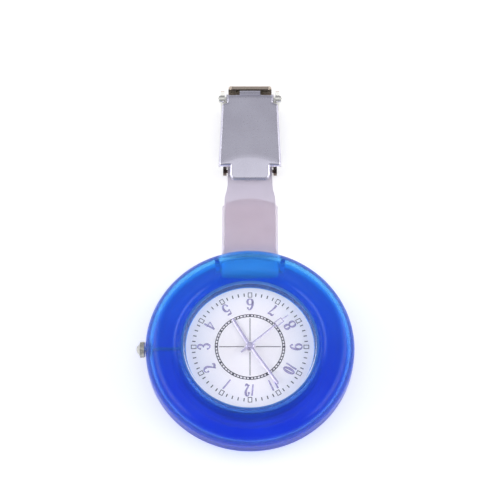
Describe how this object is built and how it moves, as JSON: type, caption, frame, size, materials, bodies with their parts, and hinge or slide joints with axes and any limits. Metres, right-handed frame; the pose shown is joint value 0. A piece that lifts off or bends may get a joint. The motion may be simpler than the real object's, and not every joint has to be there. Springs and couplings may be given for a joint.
{
  "type": "fob watch",
  "caption": "Nurse's fob watch: round translucent case with a recessed dial, short silicone strap and a lever clip.",
  "frame": {"origin": "centre of the caseback's outer face, on the hands' axis", "axes": "+Z out of the dial, +Y along the strap to the clip, crown at -X"},
  "size_m": [0.0543, 0.1014, 0.0125],
  "materials": {
    "blue_plastic": "translucent, frosted inside",
    "crystal": "clear",
    "rubber_seal": "matte",
    "caseback_steel": "brushed",
    "dial_silver": "sunray brushed",
    "dial_ink": "printed",
    "numeral_metal": "silver lilac, applied",
    "hand_metal": "polished",
    "movement_plastic": "moulded",
    "battery_steel": "satin",
    "brass": "turned",
    "steel": "turned",
    "board": "laminate",
    "copper_coil": "enamelled wire",
    "magnet": "sintered",
    "crown_metal": "polished, fluted",
    "silicone": "translucent, milky",
    "clip_chrome": "satin chrome"
  },
  "bodies": {
    "case": {"front_shell": "blue_plastic", "back_shell": "blue_plastic", "crystal": "crystal", "crystal_gasket": "blue_plastic", "caseback": "caseback_steel", "caseback_gasket": "rubber_seal", "dial": "dial_silver", "dial_track": "dial_ink", "numerals": "numeral_metal", "movement_holder": "movement_plastic", "main_plate": "movement_plastic", "train_bridge": "movement_plastic", "bridge_screws": "steel", "battery": "battery_steel", "battery_contact": "brass", "circuit_board": "board", "quartz_can": "steel", "stator": "steel", "coil": "copper_coil", "stem_gasket": "rubber_seal", "strap_pin": "steel", "strap_root": "silicone"},
    "seconds": {"second_wheel": "brass", "second_hand": "hand_metal"},
    "minutes": {"centre_wheel": "brass", "minute_hand": "hand_metal"},
    "hours": {"hour_wheel": "brass", "hour_hand": "hand_metal"},
    "third": {"third_wheel": "brass"},
    "intermediate": {"intermediate_wheel": "brass"},
    "rotor": {"rotor": "magnet"},
    "minute_work": {"minute_wheel": "brass"},
    "setting_pinion": {"setting_pinion": "steel"},
    "crown": {"crown": "crown_metal", "stem": "steel"},
    "setting_lever": {"setting_lever": "steel"},
    "strap": {"strap_band": "silicone", "strap_tab": "silicone"},
    "clip": {"clip_body": "clip_chrome", "clip_bar": "clip_chrome", "clip_hinge_pin": "clip_chrome"},
    "lever": {"clip_lever": "clip_chrome"}
  },
  "joints": [
    {"name": "second_hand_turn", "type": "hinge", "parent": "case", "child": "seconds", "pos_m": [0, 0, 0.0089], "axis": [0, 0, -1], "continuous": true},
    {"name": "minute_hand_turn", "type": "hinge", "parent": "case", "child": "minutes", "pos_m": [0, 0, 0.0085], "axis": [0, 0, -1], "continuous": true},
    {"name": "hour_hand_turn", "type": "hinge", "parent": "case", "child": "hours", "pos_m": [0, 0, 0.0081], "axis": [0, 0, -1], "continuous": true},
    {"name": "third_wheel_turn", "type": "hinge", "parent": "case", "child": "third", "pos_m": [0.00248, 0.00208, 0.0053], "axis": [0, 0, -1], "continuous": true},
    {"name": "intermediate_wheel_turn", "type": "hinge", "parent": "case", "child": "intermediate", "pos_m": [0.00233, -0.00233, 0.0046], "axis": [0, 0, -1], "continuous": true},
    {"name": "rotor_turn", "type": "hinge", "parent": "case", "child": "rotor", "pos_m": [0.003, -0.00418, 0.005], "axis": [0, 0, -1], "continuous": true},
    {"name": "minute_wheel_turn", "type": "hinge", "parent": "case", "child": "minute_work", "pos_m": [-0.00229, -0.00132, 0.0067], "axis": [0, 0, -1], "continuous": true},
    {"name": "crown_turn", "type": "hinge", "parent": "case", "child": "setting_pinion", "pos_m": [-0.0055, 0, 0.00625], "axis": [-1, 0, 0], "continuous": true},
    {"name": "crown_pull", "type": "slide", "parent": "setting_pinion", "child": "crown", "axis": [-1, 0, 0], "range_m": [0, 0.0008]},
    {"name": "setting_lever_swing", "type": "hinge", "parent": "case", "child": "setting_lever", "pos_m": [-0.0079, -0.0029, 0.0068], "axis": [0, 0, 1], "range_deg": [0, 16]},
    {"name": "strap_flex", "type": "hinge", "parent": "case", "child": "strap", "pos_m": [0, 0.0276, 0.00625], "axis": [1, 0, 0], "range_deg": [-75, 95], "stiffness_Nm_per_rad": 0.003},
    {"name": "clip_swing", "type": "hinge", "parent": "strap", "child": "clip", "pos_m": [0, 0.0519, 0.0016], "axis": [1, 0, 0], "range_deg": [-150, 1]},
    {"name": "clip_lever_open", "type": "hinge", "parent": "clip", "child": "lever", "pos_m": [0, 0.0717, 0.0045], "axis": [-1, 0, 0], "range_deg": [0, 100]}
  ],
  "couplings": [
    {"joint": "minute_hand_turn", "follows": "second_hand_turn", "ratio": 0.016667},
    {"joint": "hour_hand_turn", "follows": "second_hand_turn", "ratio": 0.0013889},
    {"joint": "third_wheel_turn", "follows": "second_hand_turn", "ratio": -0.13333},
    {"joint": "intermediate_wheel_turn", "follows": "second_hand_turn", "ratio": -5},
    {"joint": "rotor_turn", "follows": "second_hand_turn", "ratio": 30},
    {"joint": "minute_wheel_turn", "follows": "second_hand_turn", "ratio": -0.0055556},
    {"joint": "setting_lever_swing", "follows": "crown_pull", "rad_per_m": 344.83}
  ]
}
